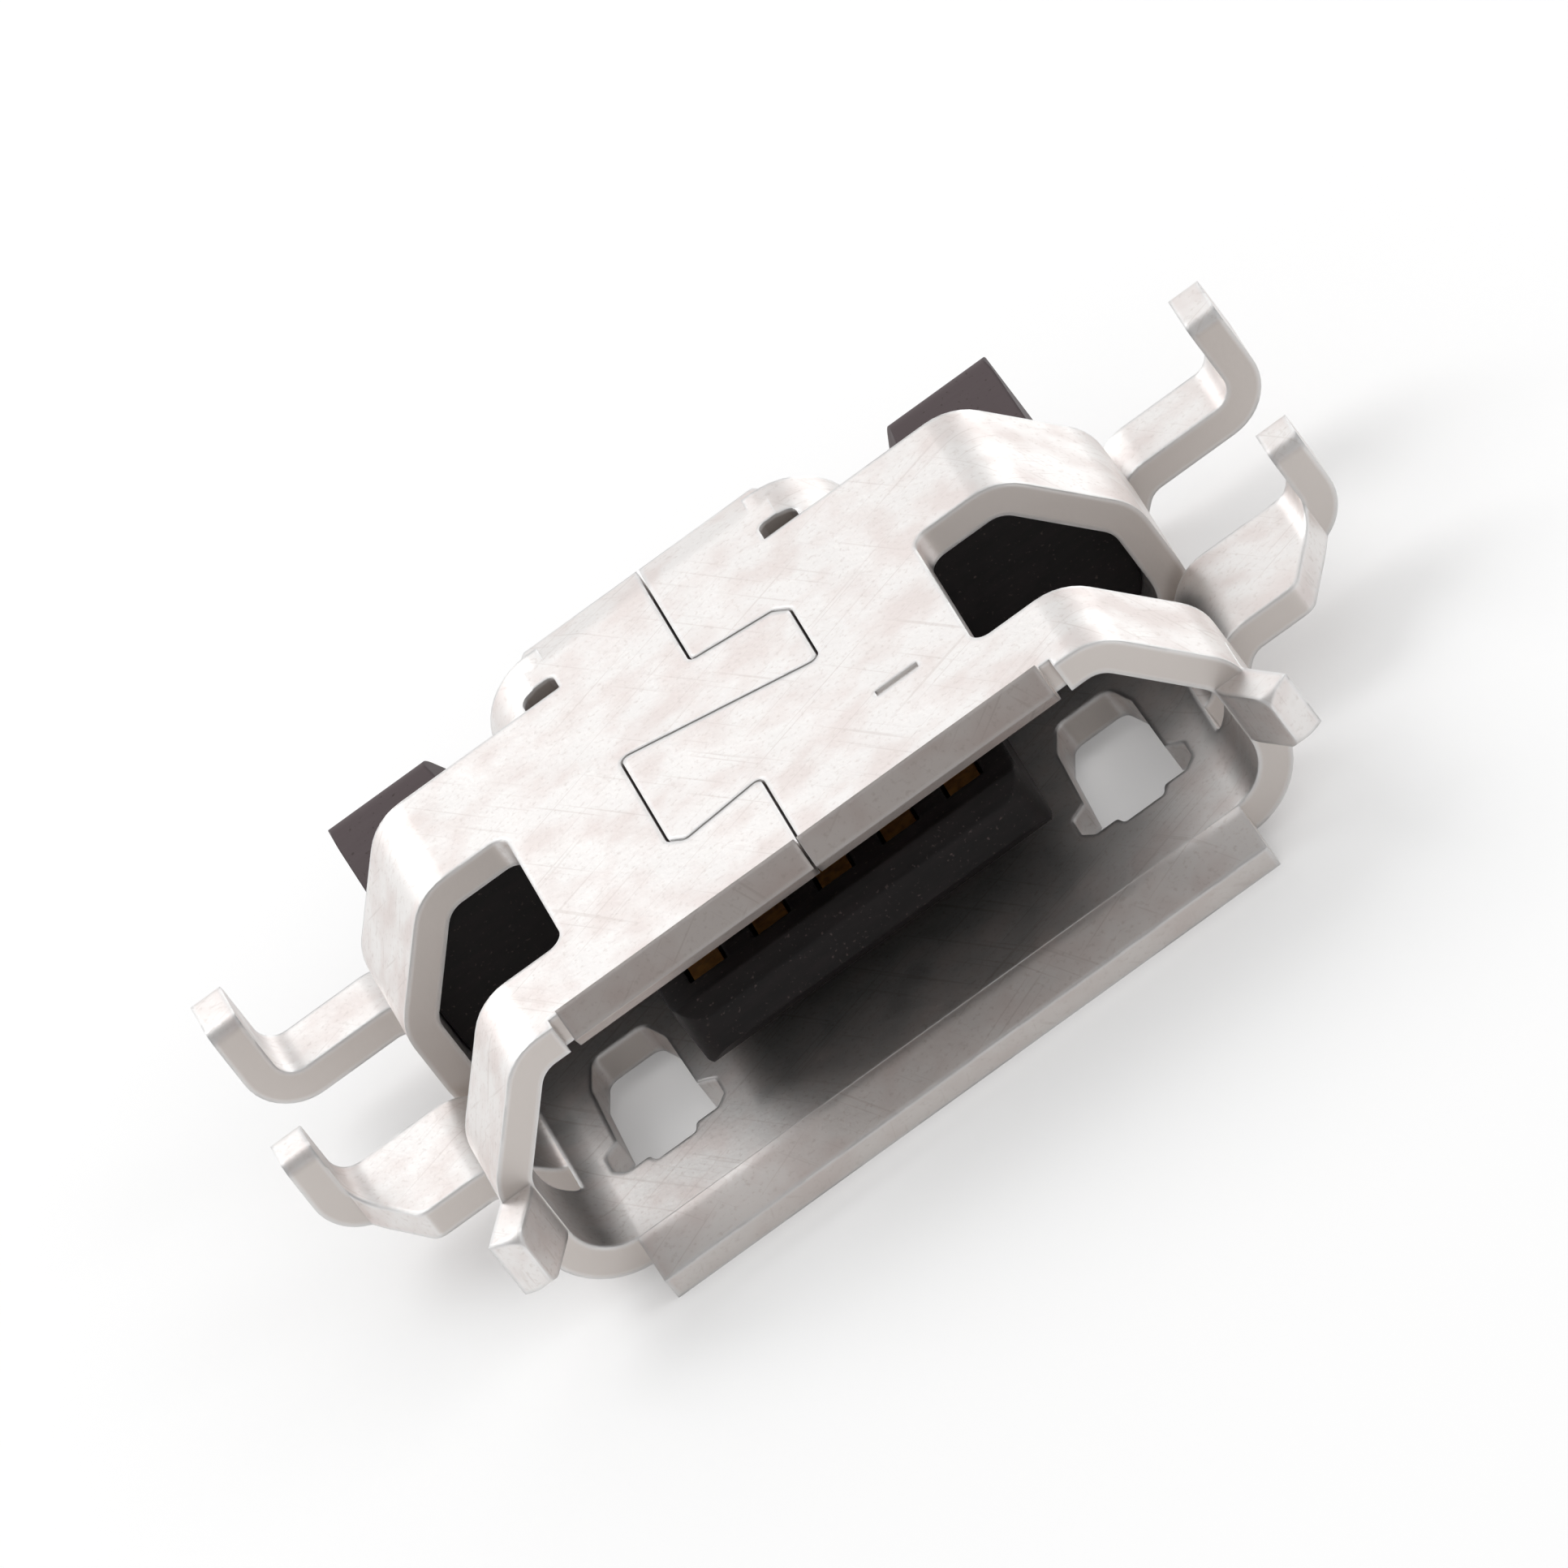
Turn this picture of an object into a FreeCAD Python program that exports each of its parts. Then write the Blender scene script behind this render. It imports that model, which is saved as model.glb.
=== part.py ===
import FreeCAD, Part
import math
import os

# Micro USB type B socket that sinks into a cut-out of the board and hangs on four legs.
# X is the width, the mouth faces -Y, +Z runs from the wide plate to the seamed narrow face.
# Sizes are in millimetres and are first laid out from the mouth plane and the wide plate.

V = FreeCAD.Vector

# Folded sheet of the shell
sheet = 0.30
bendInside = 0.15
mouthWidth = 6.90
mouthHeight = 1.85
chamferWidth = 0.80
chamferHeight = 1.00
chamferRadius = 0.55
plateCornerRadius = 0.74

# Depths along Y, counted from the mouth plane
windowFront = 0.98
windowLength = 1.87
bandLength = 1.35
tabLength = 0.90
plateDepth = 5.40
plateHalf = 3.10

# Window of each long corner, where the front leg was cut free
windowInset = 2.08
windowCorner = 0.16
legSlitInset = 3.24
legSlitFront = 0.52
legSlitRear = 0.12
legSlitEnd = 0.05

# Legs
legReach = 5.18
legSeat = 0.75
legRise = 0.42
legRiseStart = 3.36
frontTipTop = 1.44
rearTipTop = 1.54
legTipRound = 0.13
legBendInside = 0.20
frontTipWidth = 0.50
frontShoulder = 4.46
frontWaist = 4.70
frontWaistDepth = 0.44
frontRound = 0.15
rearLegWidth = 0.65
rearLegBack = 0.34
rearRootExtra = 0.10
rearRootEnd = 3.62

# Flared lips of the mouth
plateLipHalf = 3.05
plateLipLength = 0.48
plateLipAngle = 20.0
narrowLipHalf = 2.42
narrowLipLength = 0.35
narrowLipAngle = 45.0
lipNotchWidth = 0.11
lipNotchDepth = 0.12
sideLipLow = 0.76
sideLipHigh = 1.34
sideLipLength = 0.58
sideLipAngle = 31.0
sideLipRound = 0.12

# Rear edge of the narrow face with its two hooked fingers
neckHalf = 1.05
shearGap = 0.06
reliefLength = 0.35
reliefWidth = 0.16
reliefRound = 0.07
tabHalf = 1.25
tabCorner = 0.28
tabBendBack = 0.42
tabDrop = 0.10
fingerWidth = 0.65
fingerRun = 1.58
fingerTipX = 1.70
fingerDrop = 0.72
fingerBend = 0.38
fingerRound = 0.20

# Interlocked seam of the narrow face
seamGap = 0.025
seamEndHalf = 0.93
seamRound = 0.06
seamCorner = 0.14
seamUpperRoot = 3.34
seamUpperTip = 3.22
seamUpperFront = 2.20
seamLowerBack = 2.74
seamLowerTip = 1.14
seamLowerRoot = 1.24

# Stamped mark of the narrow face
markX = 1.38
markFront = 1.20
markLength = 0.42
markWidth = 0.08
markDepth = 0.03

# Openings of the wide plate
latchCentre = 2.38
latchFront = 0.90
latchLength = 1.70
latchHalf = 0.41
latchEarHalf = 0.56
latchEarLength = 0.38
latchEndHalf = 0.26
latchBumpHalf = 0.24
latchBumpDepth = 0.11
trapInner = 1.12
trapOuter = 2.48
trapFront = 3.78
trapDepth = 1.03
trapCorner = 0.10
trapTail = 2.20
trapBowX = 1.60
trapBowDepth = 0.30
trapTipWidth = 0.12
slotInner = 1.04
slotOuter = 1.70
slotFront = 4.58
slotWidth = 0.22
moonHalf = 0.34
moonFront = 3.64
moonDepth = 0.32
rearNotchHalf = 0.92
rearNotchDepth = 0.13

# Moulded housing
housingFit = 0.02
housingFront = 3.30
flangeGap = 0.04
flangeDepth = 0.96
flangeHalf = 3.38
flangeTop = 2.12
flangeRamp = 0.34
flangeFoot = 3.20
flangeFootRise = 0.25
flangeRound = 0.12
pocketOuter = 2.42
pocketSlope = 0.20
pocketFloor = 1.70
pocketInner = 2.00
recessHalf = 1.87
recessTop = 1.58
recessDepth = 0.86
coreHalf = 1.42
coreTop = 1.95
coreDepth = 1.02
coreRound = 0.12
tongueHalf = 1.75
tongueFront = 0.72
tongueBase = 0.70
tongueThickness = 0.62
tongueCorner = 0.28
tongueBevel = 0.14
rootThicker = 0.14
rootLength = 0.40

# Contacts
contactCount = 5
contactPitch = 0.65
contactThickness = 0.15
contactWidth = 0.30
contactTipBack = 0.24
contactDive = 0.12
contactSunk = 0.05
grooveSide = 0.04
dropStart = 4.98
dropEnd = 5.16
dropBend = 0.06
forkStart = 5.32
forkHalf = 0.21
forkEnd = 5.64
forkHoleHalf = 0.11
forkHoleEnd = 5.55
tailWidth = 0.24
tailEnd = 6.90
slotSide = 0.03
slotStart = 4.80
slotLow = 0.45
slotAbove = 0.08

# Values that follow
halfWidth = mouthWidth / 2 + sheet
height = mouthHeight + 2 * sheet
windowRear = windowFront + windowLength
bandRear = windowRear + bandLength
narrowDepth = bandRear + tabLength
lipRise = math.radians(plateLipAngle)
lipDrop = plateLipLength * math.sin(lipRise) - sheet / 2 * (1 - math.cos(lipRise))
lipReach = plateLipLength * math.cos(lipRise) + sheet / 2 * math.sin(lipRise)
sideLean = math.radians(sideLipAngle)
sideReach = sideLipLength * math.cos(sideLean) + sheet / 2 * math.sin(sideLean)
frontReach = max(lipReach, sideReach)
tongueTop = tongueBase + tongueThickness
contactTop = tongueTop - contactSunk
through = 0.5
far = 12.0

planes = {
    "xy": lambda a, b, c: V(a, b, c),
    "xz": lambda a, b, c: V(a, c, b),
    "yz": lambda a, b, c: V(c, a, b),
}


def cornerArc(before, corner, after, radius):
    """Gives the start, middle and end of the arc that rounds a corner of an outline."""
    u = V(before[0] - corner[0], before[1] - corner[1], 0).normalize()
    w = V(after[0] - corner[0], after[1] - corner[1], 0).normalize()
    half = u.getAngle(w) / 2
    along = radius / math.tan(half)
    middle = (u + w).normalize() * (radius / math.sin(half) - radius)
    at = V(corner[0], corner[1], 0)
    return [at + u * along, at + middle, at + w * along]


def outline(points, radii, plane, level):
    """Draws a closed outline with its corners rounded, in one of the three main planes."""
    count = len(points)
    if not isinstance(radii, (list, tuple)):
        radii = [radii] * count
    place = planes[plane]
    stops = []
    for i in range(count):
        if radii[i] > 0:
            stops.append(cornerArc(points[i - 1], points[i], points[(i + 1) % count], radii[i]))
        else:
            stops.append([V(points[i][0], points[i][1], 0)])
    edges = []
    for i in range(count):
        here = [place(p.x, p.y, level) for p in stops[i]]
        following = stops[(i + 1) % count][0]
        if len(here) == 3:
            edges.append(Part.Arc(here[0], here[1], here[2]).toShape())
        start = here[-1]
        end = place(following.x, following.y, level)
        if start.distanceToPoint(end) > 1e-6:
            edges.append(Part.makeLine(start, end))
    return Part.Wire(edges)


def prism(points, radii, plane, start, stop):
    """Extrudes a rounded outline between two levels square to its plane."""
    face = Part.Face(outline(points, radii, plane, start))
    direction = planes[plane](0, 0, stop - start)
    return face.extrude(direction)


def moved(points, distance):
    """Shifts each side of a closed outline to its left by one distance."""
    result = []
    count = len(points)
    for i in range(count):
        before = points[i - 1]
        corner = points[i]
        after = points[(i + 1) % count]
        result.append(mitre(before, corner, after, distance))
    return result


def mitre(before, corner, after, distance):
    """Finds where two neighbouring sides meet after both are shifted to their left."""
    u = V(corner[0] - before[0], corner[1] - before[1], 0).normalize()
    w = V(after[0] - corner[0], after[1] - corner[1], 0).normalize()
    normal = V(-u.y - w.y, u.x + w.x, 0).normalize()
    reach = distance / normal.dot(V(-u.y, u.x, 0))
    return (corner[0] + normal.x * reach, corner[1] + normal.y * reach)


def strip(path, thickness, inside, plane, start, stop):
    """Folds a flat strip along a path: each bend has the inside radius on its hollow side."""
    left = []
    right = []
    leftRadii = []
    rightRadii = []
    last = len(path) - 1
    for i, point in enumerate(path):
        before = path[i - 1] if i > 0 else (2 * point[0] - path[1][0], 2 * point[1] - path[1][1])
        after = path[i + 1] if i < last else (2 * point[0] - before[0], 2 * point[1] - before[1])
        left.append(mitre(before, point, after, thickness / 2))
        right.append(mitre(before, point, after, -thickness / 2))
        u = V(point[0] - before[0], point[1] - before[1], 0)
        w = V(after[0] - point[0], after[1] - point[1], 0)
        turn = u.x * w.y - u.y * w.x
        bend = 0 < i < last and abs(turn) > 1e-9
        leftRadii.append((inside if turn > 0 else inside + thickness) if bend else 0)
        rightRadii.append((inside + thickness if turn > 0 else inside) if bend else 0)
    points = left + right[::-1]
    radii = leftRadii + rightRadii[::-1]
    return prism(points, radii, plane, start, stop)


def box(x, y, z):
    """Makes a plain box between two limits on each axis."""
    solid = Part.makeBox(x[1] - x[0], y[1] - y[0], z[1] - z[0])
    solid.translate(V(x[0], y[0], z[0]))
    return solid


def bothSides(shape):
    """Gives a shape and its mirror image across the middle of the width."""
    return [shape, shape.mirror(V(0, 0, 0), V(1, 0, 0))]


def section(inset):
    """Outline of the shell across its width, set in from the outer surface."""
    side = height - chamferHeight
    top = halfWidth - chamferWidth
    corners = [(-halfWidth, 0), (halfWidth, 0), (halfWidth, side),
               (top, height), (-top, height), (-halfWidth, side)]
    radii = [plateCornerRadius - inset] * 2 + [chamferRadius - inset] * 4
    return moved(corners, inset), radii


def sectionPrism(inset, front, rear):
    """Extrudes the section of the shell between two depths."""
    corners, radii = section(inset)
    return prism(corners, radii, "xz", front, rear)


def tube():
    """Wall that runs round the mouth and back to the rear of the side bands."""
    return sectionPrism(0, 0, bandRear).cut(sectionPrism(sheet, -through, bandRear + through))


def cornerCut():
    """Space that the front leg left behind: a window on top and a slit beside the plate."""
    window = [(windowInset, windowFront), (far, windowFront),
              (far, windowRear), (windowInset, windowRear)]
    slit = [(legSlitInset, windowFront), (far, windowFront),
            (far, windowRear), (legSlitInset, windowRear)]
    middle = height / 2
    top = prism(window, [windowCorner, 0, 0, windowCorner], "xy", middle, height + through)
    low = prism(slit, [legSlitEnd, 0, 0, legSlitEnd], "xy", -through, middle)
    return top.fuse(low)


def legFold(front, rear, tipTop):
    """Sheet that leaves the plate, steps up to the board and turns up at its tip."""
    centre = sheet / 2
    run = legSeat - centre
    tip = legReach - centre
    path = [(plateHalf - through, centre), (legRiseStart, centre), (legRiseStart + legRise, run),
            (tip, run), (tip, tipTop)]
    return strip(path, sheet, legBendInside, "xz", front, rear)


def leg(plan, radii, root, tipFront, rear, tipTop):
    """Folds a leg, cuts it to its plan and rounds the end of its upturned tip."""
    shape = prism(plan, radii, "xy", -through, height)
    neck = legSeat + sheet
    side = [(root, -through), (rear, -through), (rear, tipTop), (tipFront, tipTop),
            (tipFront, neck), (root, neck)]
    ends = prism(side, [0, 0, legTipRound, legTipRound, 0, 0], "yz", 0, far)
    return legFold(root, rear, tipTop).common(shape).common(ends)


def frontLeg():
    """Front leg: a broad paddle with a cut-away corner that narrows it to its tip."""
    front = windowFront + legSlitFront
    rear = windowRear - legSlitRear
    tipFront = rear - frontTipWidth
    plan = [(plateHalf - through, front), (frontShoulder, front), (frontWaist, front + frontWaistDepth),
            (legReach - sheet, tipFront), (far, tipFront), (far, rear), (plateHalf - through, rear)]
    return leg(plan, [0, frontRound, frontRound, 0, 0, 0, 0], front, tipFront, rear, frontTipTop)


def rearLeg():
    """Rear leg: an even strip with a slightly broader root."""
    rear = plateDepth - rearLegBack
    front = rear - rearLegWidth
    root = front - rearRootExtra
    plan = [(plateHalf - through, root), (rearRootEnd - rearRootExtra, root), (rearRootEnd, front),
            (far, front), (far, rear), (plateHalf - through, rear)]
    return leg(plan, [0, 0, 0, 0, 0, 0], root, front, rear, rearTipTop)


def flared(length, angle, wall, outward):
    """Path of a lip that leaves the mouth plane and leans outwards."""
    lean = math.radians(angle)
    root = wall - outward * sheet / 2
    return [(through, root), (0, root),
            (-length * math.cos(lean), root + outward * length * math.sin(lean))]


def plateLip():
    """Lip of the wide plate, nearly as wide as the plate between its rounded corners."""
    path = flared(plateLipLength, plateLipAngle, 0, -1)
    return strip(path, sheet, bendInside, "yz", -plateLipHalf, plateLipHalf)


def narrowLip():
    """Lip of the narrow face, short and wide open."""
    path = flared(narrowLipLength, narrowLipAngle, height, 1)
    return strip(path, sheet, bendInside, "yz", -narrowLipHalf, narrowLipHalf)


def sideLip():
    """Lip of one side wall, a short tongue with its corners rounded."""
    path = [(b, a) for a, b in flared(sideLipLength, sideLipAngle, halfWidth, 1)]
    lip = strip(path, sheet, bendInside, "xy", sideLipLow, sideLipHigh)
    side = [(through, sideLipLow), (through, sideLipHigh), (-sideReach, sideLipHigh), (-sideReach, sideLipLow)]
    return lip.common(prism(side, [0, 0, sideLipRound, sideLipRound], "yz", 0, far))


def narrowTab():
    """Rear of the narrow face: a neck, a tab with cut corners and a rear edge bent down."""
    centre = height - sheet / 2
    neckRear = bandRear + shearGap
    path = [(bandRear - through, centre), (narrowDepth - tabBendBack, centre),
            (narrowDepth, centre - tabDrop)]
    bent = strip(path, sheet, bendInside, "yz", -far, far)
    half = [(neckHalf, bandRear - through), (neckHalf, neckRear), (tabHalf, neckRear),
            (tabHalf, narrowDepth - tabCorner / 2), (tabHalf - tabCorner, narrowDepth + through)]
    other = [(-x, y) for x, y in reversed(half)]
    radii = [0, 0, 0, 0.1, 0, 0, 0.1, 0, 0, 0]
    return bent.common(prism(half + other, radii, "xy", 0, far))


def relief():
    """Short hole at the inner end of the shear line between a side band and its finger."""
    front = bandRear + shearGap / 2
    rear = bandRear + shearGap + reliefWidth
    end = neckHalf + reliefLength
    shape = [(neckHalf, front), (end, front), (end, rear), (neckHalf, rear)]
    return prism(shape, [0, 0, reliefRound, reliefRound], "xy", height / 2, height + through)


def finger():
    """Hook that leaves the tab sideways and curls down into the housing."""
    centre = height - sheet / 2
    front = bandRear + shearGap
    path = [(neckHalf, centre), (fingerRun, centre), (fingerTipX, height - fingerDrop)]
    hook = strip(path, sheet, fingerBend, "xz", front, front + fingerWidth)
    rear = front + fingerWidth
    tip = height - fingerDrop - sheet
    end = [(front, far), (front, tip), (rear, tip), (rear, far)]
    return hook.common(prism(end, [0, fingerRound, fingerRound, 0], "yz", 0, far))


def seam():
    """Slot that follows the interlocked edges of the folded sheet."""
    end = seamEndHalf
    path = [(0, plateDepth), (0, seamUpperRoot), (end - seamCorner, seamUpperTip),
            (end, seamUpperTip - seamCorner), (end, seamUpperFront), (-end, seamLowerBack),
            (-end, seamLowerTip + seamCorner), (seamCorner - end, seamLowerTip), (0, seamLowerRoot),
            (0, -plateDepth)]
    return strip(path, seamGap, seamRound, "xy", height - sheet - 0.2, height + through)


def mark():
    """Shallow bar stamped in the narrow face beside the seam."""
    across = (markX - markLength / 2, markX + markLength / 2)
    return box(across, (markFront, markFront + markWidth), (height - markDepth, height + through))


def latchHole():
    """Hole that catches the latch of a plug: bumped and eared at the front, narrower behind."""
    rear = latchFront + latchLength
    half = [(latchBumpHalf - 0.04, latchFront - latchBumpDepth), (latchBumpHalf, latchFront),
            (latchEarHalf - 0.10, latchFront), (latchEarHalf, latchFront + 0.12),
            (latchEarHalf, latchFront + latchEarLength), (latchHalf, latchFront + latchEarLength + 0.10),
            (latchHalf - 0.03, rear - 0.36), (latchEndHalf, rear)]
    points = [(latchCentre + x, y) for x, y in half]
    points += [(latchCentre - x, y) for x, y in reversed(half)]
    radii = [0.05, 0.04, 0.05, 0.05, 0.08, 0.04, 0.12, 0.12]
    return prism(points, radii + radii[::-1], "xy", -through, sheet + through)


def trapHole():
    """Three-cornered rear window of the plate, with a small slot beside its long edge."""
    rear = trapFront + trapDepth
    corners = [(trapInner, trapFront), (trapOuter, trapFront), (trapOuter, rear), (trapTail, rear),
               (trapBowX, trapFront + trapBowDepth), (trapInner, trapFront + trapTipWidth)]
    r = trapCorner
    window = prism(corners, [r / 2, r, r, r, 3 * r, r / 2], "xy", -through, sheet + through)
    back = slotFront + slotWidth
    slot = [(slotInner, slotFront), (slotOuter - 0.1, slotFront + 0.03), (slotOuter, back), (slotInner, back)]
    return window.fuse(prism(slot, [0.08, 0.06, 0.05, 0.08], "xy", -through, sheet + through))


def moonHole():
    """Half-moon slot in the middle of the plate."""
    points = [(-moonHalf, moonFront), (moonHalf, moonFront), (moonHalf / 2, moonFront + moonDepth),
              (-moonHalf / 2, moonFront + moonDepth)]
    return prism(points, [0.05, 0.05, 0.14, 0.14], "xy", -through, sheet + through)


def widePlate():
    """Rear of the wide plate, beyond the side bands, with a shallow notch for the contacts."""
    half = [(plateHalf, bandRear - through), (plateHalf, plateDepth), (rearNotchHalf + 0.06, plateDepth),
            (rearNotchHalf, plateDepth - rearNotchDepth)]
    other = [(-x, y) for x, y in reversed(half)]
    radii = [0, 0.10, 0.05, 0.05]
    return prism(half + other, radii + radii[::-1], "xy", 0, sheet)


def makeShell():
    """One folded sheet: mouth ring, bands, plate, legs, lips, tab and fingers."""
    solid = tube()
    for hole in bothSides(cornerCut()):
        solid = solid.cut(hole)
    parts = [widePlate(), plateLip(), narrowLip(), narrowTab()]
    for piece in (frontLeg(), rearLeg(), sideLip(), finger()):
        parts += bothSides(piece)
    solid = solid.multiFuse(parts).removeSplitter()
    notch = box((narrowLipHalf, narrowLipHalf + lipNotchWidth), (-through, lipNotchDepth),
                (height - sheet - 0.1, height + through))
    cuts = [seam(), mark(), moonHole()]
    for piece in (notch, relief(), latchHole(), trapHole()):
        cuts += bothSides(piece)
    for hole in cuts:
        solid = solid.cut(hole)
    return solid


def contactX(index):
    """Place of one contact across the width."""
    return (index - (contactCount - 1) / 2) * contactPitch


def makeContact(x):
    """One contact: a blade in the tongue, a drop behind it and a forked foot on the board."""
    blade = contactTop - contactThickness / 2
    foot = legSeat - contactThickness / 2
    tip = tongueFront + contactTipBack
    path = [(tip, blade - contactDive), (tip + contactDive, blade), (dropStart, blade),
            (dropEnd, foot), (tailEnd, foot)]
    bent = strip(path, contactThickness, dropBend, "yz", x - contactWidth, x + contactWidth)
    wide = contactWidth / 2
    slim = tailWidth / 2
    half = [(wide, tip - through), (wide, forkStart), (forkHalf, forkStart), (slim, forkEnd),
            (slim, tailEnd)]
    points = [(x + a, b) for a, b in half] + [(x - a, b) for a, b in reversed(half)]
    radii = [0, 0.02, 0.04, 0.08, 0.04]
    flat = bent.common(prism(points, radii + radii[::-1], "xy", 0, height))
    fork = [(x - forkHoleHalf, forkStart), (x + forkHoleHalf, forkStart), (x, forkHoleEnd)]
    return flat.cut(prism(fork, 0.02, "xy", 0, height))


def tongue():
    """Tongue that carries the contacts, bevelled at its tip and thicker at its root."""
    plan = [(-tongueHalf, tongueFront), (tongueHalf, tongueFront),
            (tongueHalf, housingFront + through), (-tongueHalf, housingFront + through)]
    blade = prism(plan, [tongueCorner, tongueCorner, 0, 0], "xy", tongueBase, tongueTop)
    side = [(tongueFront, tongueBase + tongueBevel), (tongueFront + tongueBevel, tongueBase),
            (far, tongueBase), (far, tongueTop), (tongueFront + tongueBevel, tongueTop),
            (tongueFront, tongueTop - tongueBevel)]
    blade = blade.common(prism(side, 0, "yz", -far, far))
    root = box((-tongueHalf, tongueHalf), (housingFront - rootLength, housingFront + through),
               (tongueBase - rootThicker, tongueTop))
    return blade.fuse(root)


def flange():
    """Rear block on one side: it ramps up behind the band and holds the pocket of the finger."""
    front = bandRear + flangeGap
    rear = front + flangeDepth
    points = [(recessHalf, sheet), (flangeFoot, sheet), (flangeHalf, sheet + flangeFootRise),
              (flangeHalf, flangeTop), (pocketOuter, flangeTop), (pocketOuter - pocketSlope, pocketFloor),
              (pocketInner, pocketFloor), (recessHalf, recessTop)]
    r = flangeRound
    block = prism(points, [0, r / 2, r / 2, r, r, r, r / 2, r / 2], "xz", front, rear)
    side = [(front, 0), (rear, 0), (rear, flangeTop), (front, flangeTop - flangeRamp)]
    return block.common(prism(side, [0, 0, flangeRound, 0], "yz", -far, far))


def makeHousing(contacts):
    """Moulded body: core inside the shell, tongue, rear wall, two rear blocks and contact slots."""
    front = bandRear - 0.2
    start = bandRear + flangeGap
    body = sectionPrism(sheet + housingFit, housingFront, start)
    body.translate(V(0, 0, -housingFit))
    low = [(-recessHalf, sheet), (recessHalf, sheet), (recessHalf, recessTop), (-recessHalf, recessTop)]
    core = [(-coreHalf, sheet), (coreHalf, sheet), (coreHalf, coreTop), (-coreHalf, coreTop)]
    r = coreRound
    pieces = [prism(low, 0, "xz", front, start + recessDepth),
              prism(core, [0, 0, r, r], "xz", front, start + coreDepth), tongue()]
    pieces += bothSides(flange())
    body = body.multiFuse(pieces).removeSplitter()
    for index, contact in enumerate(contacts):
        x = contactX(index)
        side = contactWidth / 2
        groove = box((x - side - grooveSide, x + side + grooveSide),
                     (tongueFront + contactTipBack + contactDive, housingFront),
                     (contactTop - contactThickness, far))
        slot = box((x - side - slotSide, x + side + slotSide), (slotStart, far),
                   (slotLow, contactTop + slotAbove))
        body = body.cut(groove).cut(slot).cut(contact)
    return body


def save(name, solid):
    """Moves a piece to the frame of the part and writes it."""
    solid = solid.copy()
    solid.translate(V(0, (frontReach - tailEnd) / 2, lipDrop))
    solid.exportStep("parts/" + name + ".step")
    box = solid.BoundBox
    print(name, "valid", solid.isValid(), "solids", len(solid.Solids), "volume", round(solid.Volume, 3),
          "x", round(box.XMin, 3), round(box.XMax, 3), "y", round(box.YMin, 3), round(box.YMax, 3),
          "z", round(box.ZMin, 3), round(box.ZMax, 3))


os.makedirs("parts", exist_ok=True)
contactSolids = [makeContact(contactX(i)) for i in range(contactCount)]
save("shell", makeShell())
save("housing", makeHousing(contactSolids))
for number, solid in enumerate(contactSolids, 1):
    save("contact_" + str(number), solid)
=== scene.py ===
import math
import bpy
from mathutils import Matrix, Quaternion, Vector


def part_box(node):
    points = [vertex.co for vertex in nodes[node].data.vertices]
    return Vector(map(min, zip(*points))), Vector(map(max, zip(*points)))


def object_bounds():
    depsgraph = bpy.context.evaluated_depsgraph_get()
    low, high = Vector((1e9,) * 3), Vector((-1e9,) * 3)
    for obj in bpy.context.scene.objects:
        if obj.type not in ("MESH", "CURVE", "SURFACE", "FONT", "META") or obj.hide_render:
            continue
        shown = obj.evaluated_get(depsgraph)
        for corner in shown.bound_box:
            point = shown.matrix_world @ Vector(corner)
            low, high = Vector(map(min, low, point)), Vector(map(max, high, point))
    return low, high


# Micro USB socket: folded tin-plated shell, black moulded housing and five gold-plated contacts.
# The scene is in metres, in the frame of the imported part, with the mouth towards -Y.
# Lengths in the dictionaries are in millimetres.

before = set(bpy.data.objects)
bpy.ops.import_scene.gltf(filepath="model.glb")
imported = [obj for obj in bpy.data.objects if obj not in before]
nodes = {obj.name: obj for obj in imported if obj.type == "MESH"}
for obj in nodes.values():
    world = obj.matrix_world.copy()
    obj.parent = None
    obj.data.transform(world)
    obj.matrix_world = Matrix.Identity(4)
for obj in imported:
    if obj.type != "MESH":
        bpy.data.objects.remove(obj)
cadLow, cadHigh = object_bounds()
mm = 0.001
edgeSamples = 3              # rays of the nodes that look for an edge near by
print("frame loaded:", ", ".join(sorted(nodes)))

# Sockets of the Mix node, by place because their names repeat. Those of a Math node are 0 and 1.
factor, numberA, numberB, colourA, colourB = 0, 2, 3, 6, 7
mixedNumber, mixedColour = 0, 2


# sRGB hex code to the linear values that the shaders take
def linearColour(code):
    values = [int(code[i:i + 2], 16) / 255 for i in (0, 2, 4)]
    return [v / 12.92 if v <= 0.04045 else ((v + 0.055) / 1.055) ** 2.4 for v in values] + [1.0]


# One shader node with its settings and the sockets that feed it
def addNode(tree, kind, settings=None, links=None):
    node = tree.nodes.new(kind)
    for name, value in (settings or {}).items():
        if isinstance(name, int) or name in node.inputs:
            node.inputs[name].default_value = value
        else:
            setattr(node, name, value)
    for name, source in (links or {}).items():
        tree.links.new(source, node.inputs[name])
    return node


def newMaterial(name):
    material = bpy.data.materials.new(name)
    material.use_nodes = True
    tree = material.node_tree
    tree.nodes.clear()
    return material, tree


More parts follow.
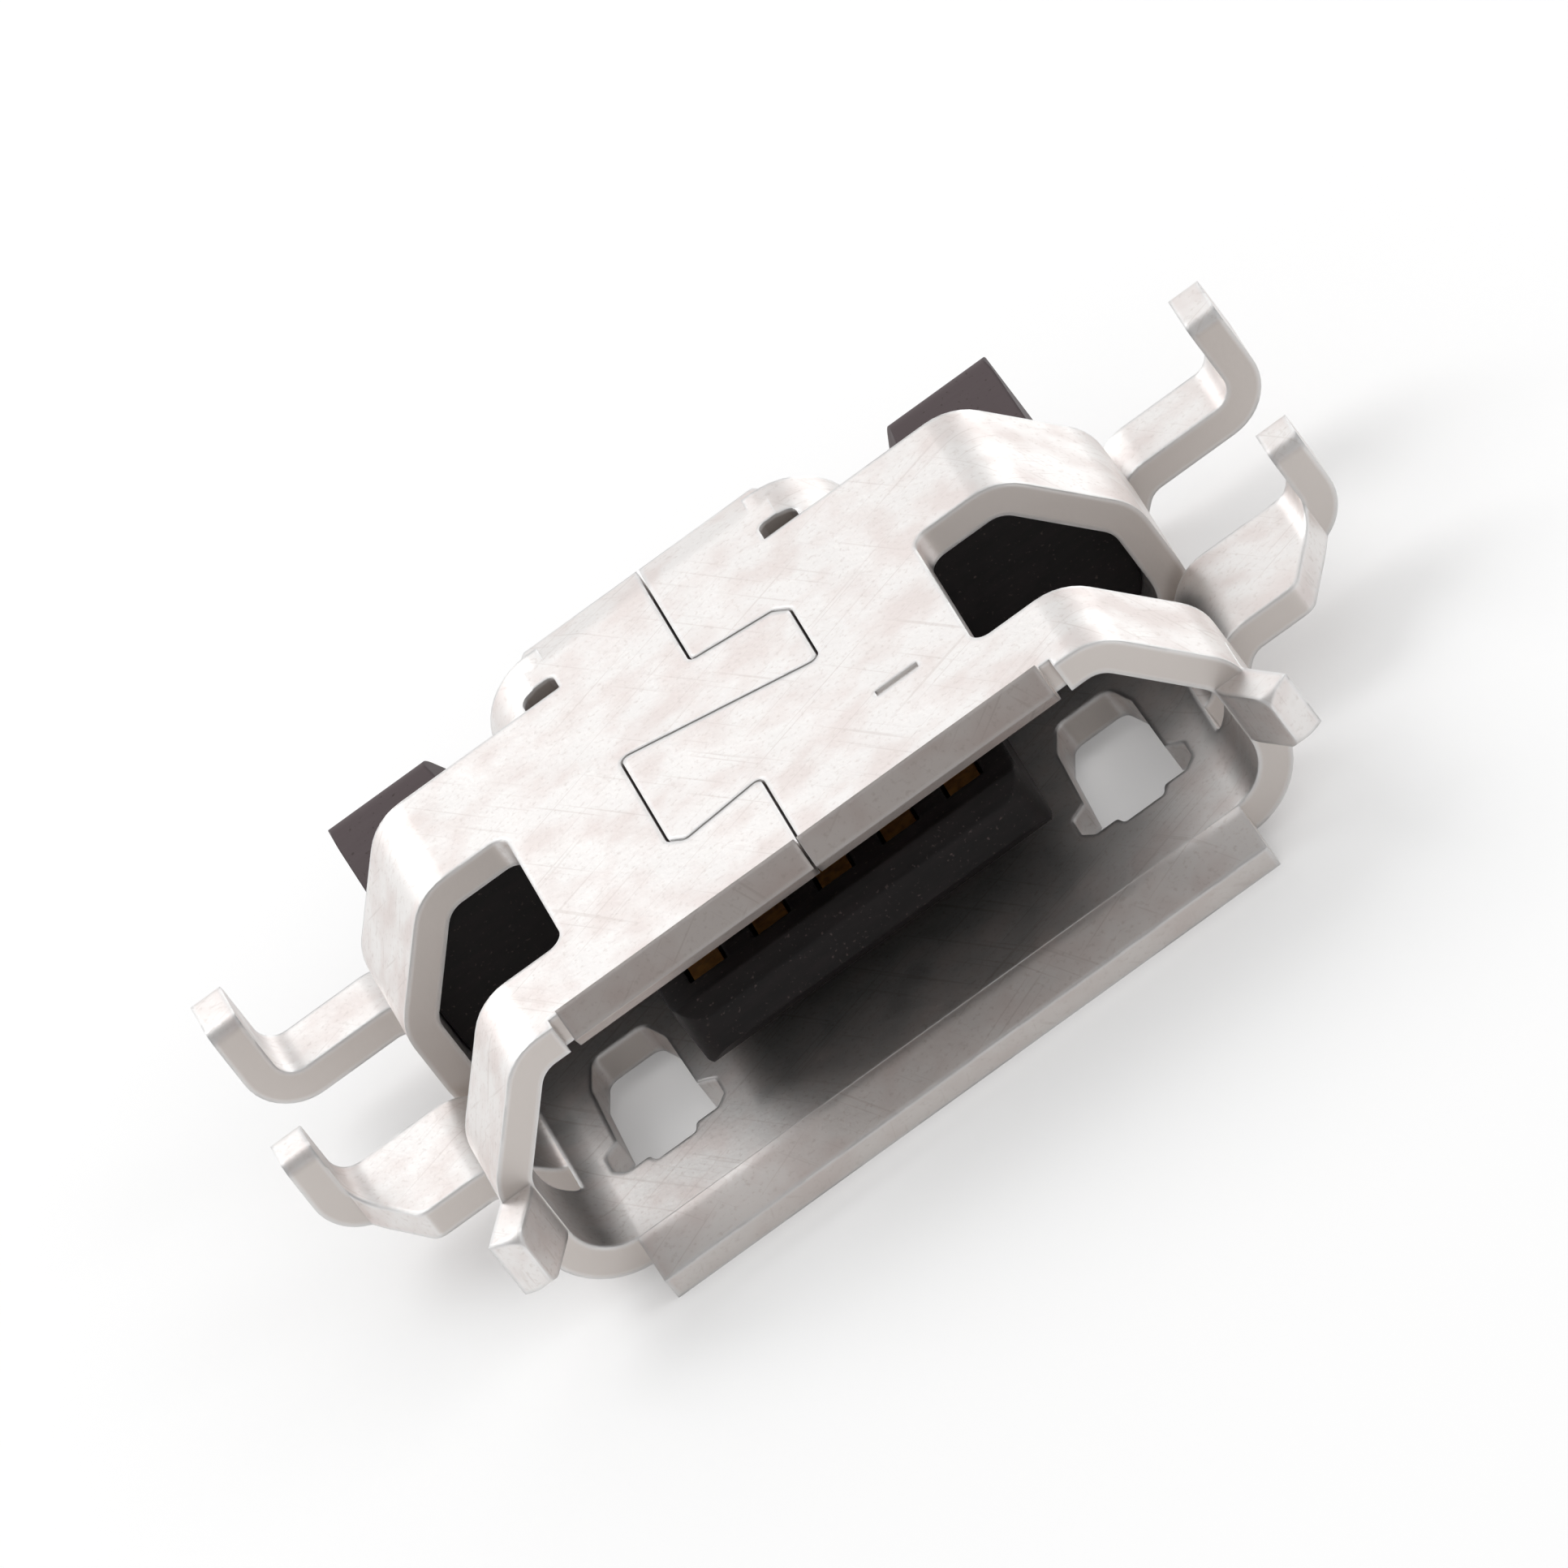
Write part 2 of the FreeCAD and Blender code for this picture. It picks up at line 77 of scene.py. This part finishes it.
# Tin-plated steel: pale satin metal with cloudy plating, a fine grain, a few handling scratches,
# and duller, darker cut edges where the punch sheared the sheet
shellFinish = {
    "colour": "fcf9f7",
    "cloudColour": "f1e9e6",
    "cloud": 0.45,                   # size of the cloudy patches
    "cloudDetail": 2.0,
    "cloudRange": {"From Min": 0.42, "From Max": 0.66},
    "roughness": {"From Min": 0.35, "From Max": 0.68, "To Min": 0.42, "To Max": 0.49},
    "speckColour": "d8cfca",         # of the specks and of the scratches
    "speck": 0.045,                  # size of the specks
    "speckDetail": 2.0,
    "speckRange": {"From Min": 0.56, "From Max": 0.74, "To Max": 0.4},
    "scratchTurns": (24, -58),       # degrees about Z
    "scratchSize": (1.6, 0.028, 0.3),    # length, width and how far it runs down a wall
    "scratchDetail": 0.0,            # smooth noise, so that each crest is one clean line
    "scratchRange": {"From Min": 0.71, "From Max": 0.82},
    "scratchShow": 0.35,
    "cutColour": "e3dcd7",
    "cutRoughness": 0.5,
    "cutRange": {"From Min": 0.9, "From Max": 0.98},     # of the share of the normal along Y
    "edgeHighlightColour": "ffffff",
    "edgeHighlightRoughness": 0.3,
    "edgeHighlight": 0.05,                     # width of the highlight painted along the edges
    "edgeHighlightRange": {"From Min": 0.95, "From Max": 0.6, "To Max": 0.9},
    "lipShade": "d8d2cf",           # painted shade that darkens the narrow lip
    "lipFront": -3.2,                # Y where the lips leave the ring
    "lipHeight": 2.2,                # Z that only the narrow lip reaches
    "lipFade": 0.05,
    "roll": 0.06,                    # radius that the shading gives to the edges
    "wave": 0.9,                     # length of the waves of the sheet
    "waveDetail": 1.0,
    "waveHeight": 0.012,
    "grain": 0.06,                   # drawn coarser than the real 0.005 so that it shows
    "grainDetail": 2.0,
    "grainHeight": 0.0015,
}


def makeTin():
    material, tree = newMaterial("tinPlatedSteel")
    f = shellFinish
    coords = addNode(tree, "ShaderNodeTexCoord")
    place = coords.outputs["Object"]
    cloud = addNode(tree, "ShaderNodeTexNoise",
                    {"Scale": 1 / (f["cloud"] * mm), "Detail": f["cloudDetail"]},
                    {"Vector": place}).outputs["Fac"]
    tone = addNode(tree, "ShaderNodeMapRange", f["cloudRange"], {"Value": cloud}).outputs["Result"]
    rough = addNode(tree, "ShaderNodeMapRange", f["roughness"], {"Value": cloud}).outputs["Result"]
    speck = addNode(tree, "ShaderNodeTexNoise",
                    {"Scale": 1 / (f["speck"] * mm), "Detail": f["speckDetail"]},
                    {"Vector": place}).outputs["Fac"]
    speck = addNode(tree, "ShaderNodeMapRange", f["speckRange"], {"Value": speck}).outputs["Result"]

    # Scratches: noise drawn out along two directions, of which only the crests are kept
    marks = None
    for turn in f["scratchTurns"]:
        drawn = addNode(tree, "ShaderNodeMapping",
                        {"vector_type": "TEXTURE", "Rotation": (0, 0, math.radians(turn)),
                         "Scale": [size * mm for size in f["scratchSize"]]}, {"Vector": place})
        line = addNode(tree, "ShaderNodeTexNoise", {"Scale": 1.0, "Detail": f["scratchDetail"]},
                       {"Vector": drawn.outputs["Vector"]})
        crest = addNode(tree, "ShaderNodeMapRange", f["scratchRange"], {"Value": line.outputs["Fac"]})
        if marks is None:
            marks = crest.outputs["Result"]
        else:
            marks = addNode(tree, "ShaderNodeMath", {"operation": "MAXIMUM"},
                            {0: marks, 1: crest.outputs["Result"]}).outputs[0]
    scratch = addNode(tree, "ShaderNodeMath", {"operation": "MULTIPLY", 1: f["scratchShow"]},
                      {0: marks}).outputs[0]

    # Sheared faces look straight along Y, at the mouth, the windows, the legs and the rear
    side = addNode(tree, "ShaderNodeSeparateXYZ", {}, {"Vector": coords.outputs["Normal"]})
    side = addNode(tree, "ShaderNodeMath", {"operation": "ABSOLUTE"}, {0: side.outputs["Y"]})
    cut = addNode(tree, "ShaderNodeMapRange", f["cutRange"], {"Value": side.outputs[0]}).outputs["Result"]

    # Painted highlight on the edges: rays sent into the sheet meet the next face only where a corner is
    # near
    inner = addNode(tree, "ShaderNodeAmbientOcclusion",
                    {"inside": True, "only_local": True, "samples": edgeSamples,
                     "Distance": f["edgeHighlight"] * mm}).outputs["AO"]
    edgeHighlight = addNode(tree, "ShaderNodeMapRange", f["edgeHighlightRange"], {"Value": inner}).outputs["Result"]

    # Colours and roughness, each laid over the one before
    colour = addNode(tree, "ShaderNodeMix",
                     {"data_type": "RGBA", colourA: linearColour(f["colour"]),
                      colourB: linearColour(f["cloudColour"])}, {factor: tone}).outputs[mixedColour]
    for name, amount in (("speckColour", speck), ("speckColour", scratch), ("cutColour", cut),
                         ("edgeHighlightColour", edgeHighlight)):
        colour = addNode(tree, "ShaderNodeMix", {"data_type": "RGBA", colourB: linearColour(f[name])},
                         {factor: amount, colourA: colour}).outputs[mixedColour]
    for name, amount in (("cutRoughness", cut), ("edgeHighlightRoughness", edgeHighlight)):
        rough = addNode(tree, "ShaderNodeMix", {numberB: f[name]},
                        {factor: amount, numberA: rough}).outputs[mixedNumber]

    # Painted shade: the narrow lip stands forward of the ring and high up, and its colour is darkened
    # there
    where = addNode(tree, "ShaderNodeSeparateXYZ", {}, {"Vector": place})
    fore = addNode(tree, "ShaderNodeMapRange",
                   {"From Min": f["lipFront"] * mm, "From Max": (f["lipFront"] - f["lipFade"]) * mm},
                   {"Value": where.outputs["Y"]})
    high = addNode(tree, "ShaderNodeMapRange",
                   {"From Min": f["lipHeight"] * mm, "From Max": (f["lipHeight"] + f["lipFade"]) * mm},
                   {"Value": where.outputs["Z"]})
    lip = addNode(tree, "ShaderNodeMath", {"operation": "MULTIPLY"},
                  {0: fore.outputs["Result"], 1: high.outputs["Result"]}).outputs[0]
    colour = addNode(tree, "ShaderNodeMix",
                     {"data_type": "RGBA", "blend_type": "MULTIPLY",
                      colourB: linearColour(f["lipShade"])},
                     {factor: lip, colourA: colour}).outputs[mixedColour]

    # The shading rounds the edges, then the wave of the sheet and its fine grain lie over them
    normal = addNode(tree, "ShaderNodeBevel",
                     {"samples": edgeSamples, "Radius": f["roll"] * mm}).outputs["Normal"]
    for name in ("wave", "grain"):
        relief = addNode(tree, "ShaderNodeTexNoise",
                         {"Scale": 1 / (f[name] * mm), "Detail": f[name + "Detail"]}, {"Vector": place})
        normal = addNode(tree, "ShaderNodeBump", {"Distance": f[name + "Height"] * mm},
                         {"Height": relief.outputs["Fac"], "Normal": normal}).outputs["Normal"]
    shader = addNode(tree, "ShaderNodeBsdfPrincipled", {"Metallic": 1.0},
                     {"Base Color": colour, "Roughness": rough, "Normal": normal})
    addNode(tree, "ShaderNodeOutputMaterial", {}, {"Surface": shader.outputs["BSDF"]})
    return material


# Glass-filled liquid crystal polymer: near black with a brown cast, its moulded skin dull and
# faintly streaked along the flow
housingFinish = {
    "colour": "0f0b0c",
    "streakColour": "1c1617",
    "streakSize": (0.5, 0.1, 0.1),   # of the flow streaks, along X, Y and Z
    "streakDetail": 4.0,
    "streakRange": {"From Min": 0.4, "From Max": 0.72},
    "litBlockColour": "584d4f",          # painted light: the free rear blocks are painted a lighter brownish grey, as lit
    "openFrom": 1.0,                 # Y behind the side bands, where the blocks show
    "openFade": 0.12,
    "fibreColour": "453b39",
    "fibre": 0.035,                  # size of the glass specks at the surface
    "fibreDetail": 1.0,
    "fibreRange": {"From Min": 0.66, "From Max": 0.78},
    "roughness": {"To Min": 0.45, "To Max": 0.61},
    "sheen": 0.3,                    # weak mirror part, so the windows stay deep black
    "skinHeight": 0.004,
    "roll": 0.04,                    # radius that the shading gives to the edges
}


def makeResin():
    material, tree = newMaterial("mouldedBlackPolymer")
    f = housingFinish
    place = addNode(tree, "ShaderNodeTexCoord").outputs["Object"]
    drawn = addNode(tree, "ShaderNodeMapping",
                    {"Scale": [1 / (size * mm) for size in f["streakSize"]]}, {"Vector": place})
    flow = addNode(tree, "ShaderNodeTexNoise", {"Scale": 1.0, "Detail": f["streakDetail"]},
                   {"Vector": drawn.outputs["Vector"]}).outputs["Fac"]
    tone = addNode(tree, "ShaderNodeMapRange", f["streakRange"], {"Value": flow}).outputs["Result"]
    rough = addNode(tree, "ShaderNodeMapRange", f["roughness"], {"Value": flow})
    glass = addNode(tree, "ShaderNodeTexNoise",
                    {"Scale": 1 / (f["fibre"] * mm), "Detail": f["fibreDetail"]}, {"Vector": place})
    fibre = addNode(tree, "ShaderNodeMapRange", f["fibreRange"], {"Value": glass.outputs["Fac"]})
    where = addNode(tree, "ShaderNodeSeparateXYZ", {}, {"Vector": place})
    # Painted light: behind the side bands the free rear blocks take the lighter colour
    free = addNode(tree, "ShaderNodeMapRange",
                   {"From Min": f["openFrom"] * mm, "From Max": (f["openFrom"] + f["openFade"]) * mm},
                   {"Value": where.outputs["Y"]})

    # Colours, each laid over the one before
    colour = addNode(tree, "ShaderNodeMix",
                     {"data_type": "RGBA", colourA: linearColour(f["colour"]),
                      colourB: linearColour(f["streakColour"])}, {factor: tone}).outputs[mixedColour]
    for name, amount in (("litBlockColour", free), ("fibreColour", fibre)):
        colour = addNode(tree, "ShaderNodeMix", {"data_type": "RGBA", colourB: linearColour(f[name])},
                         {factor: amount.outputs["Result"], colourA: colour}).outputs[mixedColour]

    edge = addNode(tree, "ShaderNodeBevel", {"samples": edgeSamples, "Radius": f["roll"] * mm})
    bump = addNode(tree, "ShaderNodeBump", {"Distance": f["skinHeight"] * mm},
                   {"Height": flow, "Normal": edge.outputs["Normal"]})
    shader = addNode(tree, "ShaderNodeBsdfPrincipled", {"Specular IOR Level": f["sheen"]},
                     {"Base Color": colour, "Roughness": rough.outputs["Result"],
                      "Normal": bump.outputs["Normal"]})
    addNode(tree, "ShaderNodeOutputMaterial", {}, {"Surface": shader.outputs["BSDF"]})
    return material


# Gold flash over nickel on bronze: warm gold on the blade and the foot, nickel grey where the tail
# leaves the housing
contactFinish = {
    "gold": "d09a58",
    "wornGold": "a97a48",
    "nickel": "b4ada6",
    "roughness": {"To Min": 0.28, "To Max": 0.43},
    "wear": 0.1,                     # size of the worn patches
    "wearDetail": 4.0,
    "wearRange": {"From Min": 0.4, "From Max": 0.7},
    "nickelStart": 0.48,             # how far inside the housing the bare nickel begins
    "nickelLength": 0.55,            # of the bare nickel behind the housing
    "nickelFade": 0.12,
}


def makeGold():
    material, tree = newMaterial("goldOverNickel")
    f = contactFinish
    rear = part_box("housing")[1].y
    place = addNode(tree, "ShaderNodeTexCoord").outputs["Object"]
    wear = addNode(tree, "ShaderNodeTexNoise",
                   {"Scale": 1 / (f["wear"] * mm), "Detail": f["wearDetail"]},
                   {"Vector": place}).outputs["Fac"]
    tone = addNode(tree, "ShaderNodeMapRange", f["wearRange"], {"Value": wear}).outputs["Result"]
    rough = addNode(tree, "ShaderNodeMapRange", f["roughness"], {"Value": wear})
    gold = addNode(tree, "ShaderNodeMix",
                   {"data_type": "RGBA", colourA: linearColour(f["gold"]),
                    colourB: linearColour(f["wornGold"])}, {factor: tone}).outputs[mixedColour]

    # The bare nickel fades in inside the housing and out again along the tail
    depth = addNode(tree, "ShaderNodeSeparateXYZ", {}, {"Vector": place}).outputs["Y"]
    begin = addNode(tree, "ShaderNodeMapRange",
                    {"From Min": rear - f["nickelStart"] * mm,
                     "From Max": rear - (f["nickelStart"] - f["nickelFade"]) * mm}, {"Value": depth})
    end = addNode(tree, "ShaderNodeMapRange",
                  {"From Min": rear + f["nickelLength"] * mm,
                   "From Max": rear + (f["nickelLength"] + f["nickelFade"]) * mm,
                   "To Min": 1.0, "To Max": 0.0}, {"Value": depth})
    bare = addNode(tree, "ShaderNodeMath", {"operation": "MULTIPLY"},
                   {0: begin.outputs["Result"], 1: end.outputs["Result"]}).outputs[0]
    colour = addNode(tree, "ShaderNodeMix", {"data_type": "RGBA", colourB: linearColour(f["nickel"])},
                     {factor: bare, colourA: gold}).outputs[mixedColour]
    shader = addNode(tree, "ShaderNodeBsdfPrincipled", {"Metallic": 1.0},
                     {"Base Color": colour, "Roughness": rough.outputs["Result"]})
    addNode(tree, "ShaderNodeOutputMaterial", {}, {"Surface": shader.outputs["BSDF"]})
    return material


finishes = {"shell": makeTin(), "housing": makeResin(), "contact": makeGold()}
for name, node in nodes.items():
    node.data.materials.clear()
    node.data.materials.append(finishes[name.split("_")[0]])
print("finishes set on", len(nodes), "pieces")


# Plain white floor that keeps the soft shadow
floorFinish = {
    "side": 900,
    "colour": "ebebeb",
    "lift": 0.19,                    # glow for the camera alone, up to the white of the backdrop
}


def makeFloor():
    bpy.ops.mesh.primitive_plane_add(size=floorFinish["side"] * mm, location=(0, 0, cadLow.z))
    floor = bpy.context.active_object
    floor.name = "floor"
    material, tree = newMaterial("whiteFloor")
    seen = addNode(tree, "ShaderNodeLightPath")
    paint = addNode(tree, "ShaderNodeBsdfDiffuse", {"Color": linearColour(floorFinish["colour"])})
    lift = addNode(tree, "ShaderNodeMath", {"operation": "MULTIPLY", 1: floorFinish["lift"]},
                   {0: seen.outputs["Is Camera Ray"]})
    glow = addNode(tree, "ShaderNodeEmission", {"Color": (1, 1, 1, 1)}, {"Strength": lift.outputs[0]})
    both = addNode(tree, "ShaderNodeAddShader", {}, {0: paint.outputs[0], 1: glow.outputs[0]})
    addNode(tree, "ShaderNodeOutputMaterial", {}, {"Surface": both.outputs[0]})
    floor.data.materials.append(material)


makeFloor()

# Soft studio light: an even pale room, whose mirror image turns grey above the front, and three
# broad lamps with their power in watts
studio = {
    "backdrop": 1.0,                 # what the camera sees
    "room": 0.9,                     # what lights the matt surfaces
    "white": 0.93,                   # what the metal mirrors away from the grey
    "grey": 0.46,
    "greyAxis": (0.0, -0.5, 0.866),  # middle of the grey, 30 degrees forward of overhead
    "whiteBelow": 0.15,              # nearness to that axis, 1 on it and 0 at a right angle to it
    "greyAbove": 0.5,
}
lamps = {
    "keyLamp": {"place": (-55, 70, 95), "size": 80, "power": 0.054},     # high, behind, left
    "fillLamp": {"place": (90, -50, 60), "size": 60, "power": 0.014},    # in front, right
    "edgeLamp": {"place": (75, 110, 14), "size": 70, "power": 0.0165},   # low, behind, right
}


def makeLight():
    world = bpy.data.worlds.new("studio")
    bpy.context.scene.world = world
    world.use_nodes = True
    tree = world.node_tree
    tree.nodes.clear()
    seen = addNode(tree, "ShaderNodeLightPath")
    direction = addNode(tree, "ShaderNodeTexCoord").outputs["Generated"]
    nearness = addNode(tree, "ShaderNodeVectorMath",
                       {"operation": "DOT_PRODUCT", 1: studio["greyAxis"]}, {0: direction})
    tone = addNode(tree, "ShaderNodeMapRange",
                   {"interpolation_type": "SMOOTHSTEP",
                    "From Min": studio["whiteBelow"], "From Max": studio["greyAbove"],
                    "To Min": studio["white"], "To Max": studio["grey"]},
                   {"Value": nearness.outputs["Value"]})
    shown = addNode(tree, "ShaderNodeMix", {numberA: studio["room"]},
                    {factor: seen.outputs["Is Glossy Ray"], numberB: tone.outputs["Result"]})
    strength = addNode(tree, "ShaderNodeMix", {numberB: studio["backdrop"]},
                       {factor: seen.outputs["Is Camera Ray"], numberA: shown.outputs[mixedNumber]})
    back = addNode(tree, "ShaderNodeBackground", {}, {"Strength": strength.outputs[mixedNumber]})
    addNode(tree, "ShaderNodeOutputWorld", {}, {"Surface": back.outputs[0]})
    for name, lamp in lamps.items():
        data = bpy.data.lights.new(name, "AREA")
        data.size = lamp["size"] * mm
        data.energy = lamp["power"]
        item = bpy.data.objects.new(name, data)
        item.visible_camera = False
        bpy.context.scene.collection.objects.link(item)
        item.location = Vector(lamp["place"]) * mm
        item.rotation_mode = "QUATERNION"
        item.rotation_quaternion = (-item.location).to_track_quat("-Z", "Y")


makeLight()

# Camera at the angle of the photograph, turned about its own axis as the socket lies there
view = {
    "azimuth": 3.54, "elevation": 32.3, "roll": -37.7,
    "distance": 250.0,
    "width": 13.0,                   # of what the picture shows at the part
    "aim": (0.0, 0.0, 1.2),
    "sensor": 36.0,
    "clip": 20,                      # shown from distance / clip to distance * clip
}


def makeCamera():
    data = bpy.data.cameras.new("camera")
    distance = view["distance"] * mm
    data.sensor_width = view["sensor"]
    data.lens = view["sensor"] * view["distance"] / view["width"]
    data.clip_start = distance / view["clip"]
    data.clip_end = distance * view["clip"]
    camera = bpy.data.objects.new("camera", data)
    bpy.context.scene.collection.objects.link(camera)
    a = math.radians(view["azimuth"])
    e = math.radians(view["elevation"])
    back = Vector((math.sin(a) * math.cos(e), -math.cos(a) * math.cos(e), math.sin(e)))
    camera.location = Vector(view["aim"]) * mm + back * distance
    camera.rotation_mode = "QUATERNION"
    turn = Quaternion((0, 0, 1), math.radians(view["roll"]))
    camera.rotation_quaternion = (-back).to_track_quat("-Z", "Y") @ turn
    bpy.context.scene.camera = camera


makeCamera()
bpy.context.scene.view_settings.view_transform = "Standard"
print("stage, light and camera set")
